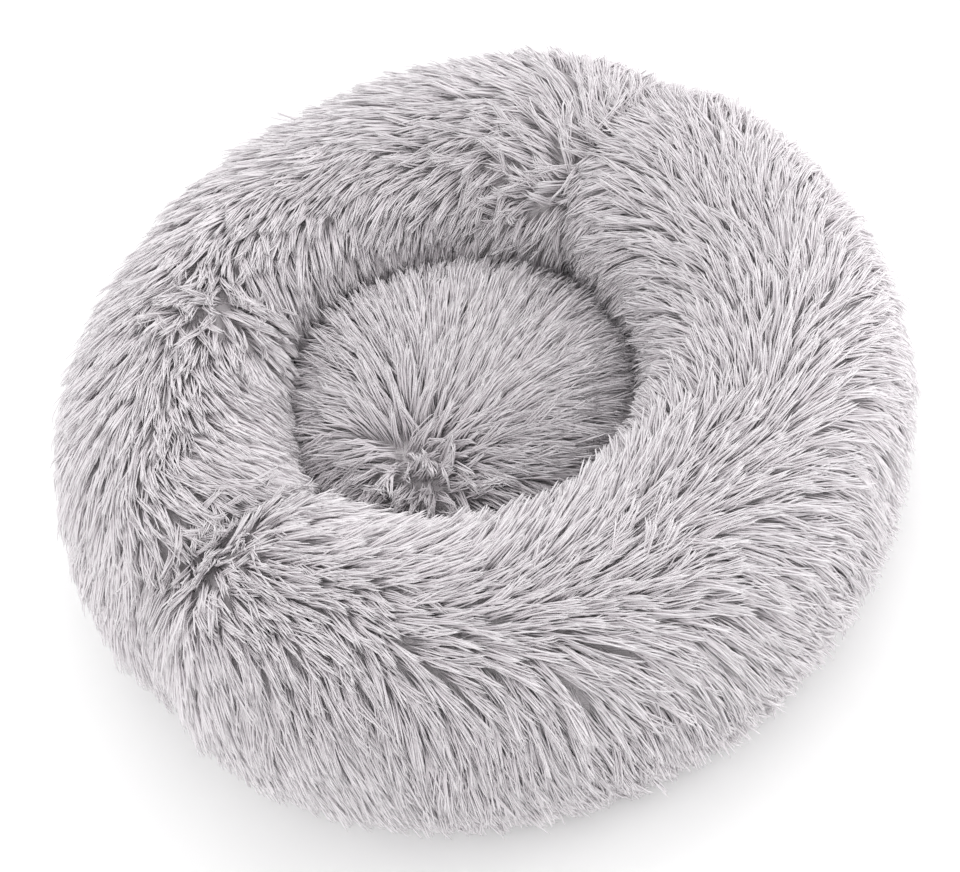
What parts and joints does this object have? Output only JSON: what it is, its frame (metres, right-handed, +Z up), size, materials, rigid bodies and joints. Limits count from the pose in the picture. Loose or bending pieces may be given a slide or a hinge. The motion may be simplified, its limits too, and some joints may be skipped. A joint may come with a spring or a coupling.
{
  "type": "pet cushion bed",
  "caption": "Round pet bed: a stuffed ring in long shaggy plush, sewn round a crowned centre cushion on a flat base cloth.",
  "frame": {"origin": "centre of the base cloth's underside, on the floor", "axes": "+Z up; the first seam of the ring lies 42 degrees from +X towards +Y, the second at 207 degrees"},
  "size_m": [0.5712, 0.5712, 0.188],
  "materials": {
    "plush": "long shaggy pile, soft sheen",
    "polyester_fibre": "loose white fibre",
    "nonwoven_backing": "matte non-woven cloth",
    "base_weave": "plain weave with small non-slip dots",
    "seam_tape": "woven tape"
  },
  "bodies": {
    "root": {"bolster_panel_left": "plush", "bolster_panel_right": "plush", "bolster_fill": "polyester_fibre", "cushion_top_panel": "plush", "cushion_fill": "polyester_fibre", "cushion_backing": "nonwoven_backing", "base_cloth": "base_weave", "outer_seam_tape": "seam_tape", "inner_seam_tape": "seam_tape"}
  },
  "joints": []
}
